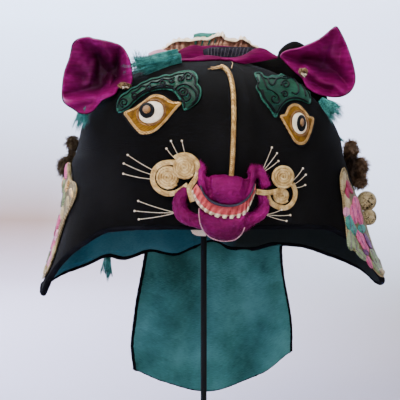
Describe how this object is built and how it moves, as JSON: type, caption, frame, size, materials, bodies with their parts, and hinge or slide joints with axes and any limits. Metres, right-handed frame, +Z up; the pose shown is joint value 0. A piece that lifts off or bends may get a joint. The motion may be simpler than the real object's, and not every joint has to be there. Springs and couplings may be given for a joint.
{
  "type": "tiger hat on display stand",
  "caption": "Child's tiger hat of black cloth with satin ears, embroidered face, cheek coils, side flaps and a hanging neck flap, on a thin rod stand",
  "frame": {"origin": "middle of the base plate's underside, on the rod's axis", "axes": "+Z up along the rod, the tiger's face looks towards -Y, +X to the viewer's right when facing the face"},
  "size_m": [0.2747, 0.1999, 0.332],
  "materials": {
    "black_cloth": "plain woven, slightly dusty",
    "lining_cloth": "plain woven cotton, mottled",
    "magenta_satin": "satin sheen",
    "green_satin": "satin with couched scrolls",
    "gold_braid": "metallic thread braid",
    "cream_braid": "coiled cotton braid",
    "white_cloth": "plain cloth",
    "tan_bead": "polished",
    "coral_ribbon": "pleated ribbon",
    "lilac_binding": "rolled binding",
    "pink_piping": "thin piping",
    "floral_embroidery": "silk embroidery",
    "teal_floss": "loose silk floss",
    "brown_fur": "fluffy pile",
    "silk_mesh": "silk with dark lines",
    "grey_embroidery": "silk embroidery",
    "black_steel": "satin black paint"
  },
  "bodies": {
    "root": {"base_plate": "black_steel", "brow_left": "green_satin", "brow_right": "green_satin", "cheek_coil_left_high": "cream_braid", "cheek_coil_left_low": "cream_braid", "cheek_coil_right_high": "cream_braid", "cheek_coil_right_low": "cream_braid", "cheek_ring_right": "cream_braid", "crown": "black_cloth", "crown_pad": "black_cloth", "ear_knot_left": "cream_braid", "ear_knot_right": "cream_braid", "ear_left": "black_cloth", "ear_lining_left": "magenta_satin", "ear_lining_right": "magenta_satin", "ear_right": "black_cloth", "eye_bead_left": "tan_bead", "eye_bead_right": "tan_bead", "eye_field_left": "gold_braid", "eye_field_right": "gold_braid", "eye_iris_left": "black_cloth", "eye_iris_right": "black_cloth", "eye_white_left": "white_cloth", "eye_white_right": "white_cloth", "floral_band_left": "floral_embroidery", "floral_band_right": "floral_embroidery", "fur_ball_high": "brown_fur", "fur_ball_low": "brown_fur", "fur_ball_middle": "brown_fur", "gum_ruffle": "coral_ribbon", "hem_binding": "black_cloth", "hem_tassel": "teal_floss", "jaw_piping": "pink_piping", "lining": "lining_cloth", "lip_binding": "lilac_binding", "lower_jaw": "magenta_satin", "mane_left": "teal_floss", "mane_right": "teal_floss", "mouth_ground": "black_cloth", "muzzle_left": "magenta_satin", "muzzle_right": "magenta_satin", "neck_flap": "black_cloth", "neck_flap_binding": "black_cloth", "neck_flap_lining": "lining_cloth", "nose": "magenta_satin", "petal_back": "magenta_satin", "petal_front": "magenta_satin", "pompom_left_high": "brown_fur", "pompom_left_low": "brown_fur", "rod": "black_steel", "rosette": "coral_ribbon", "seam_cord": "gold_braid", "silk_ball_high": "silk_mesh", "silk_ball_low": "silk_mesh", "top_leaf": "grey_embroidery", "top_tuft": "teal_floss", "upper_lip": "magenta_satin"}
  },
  "joints": []
}
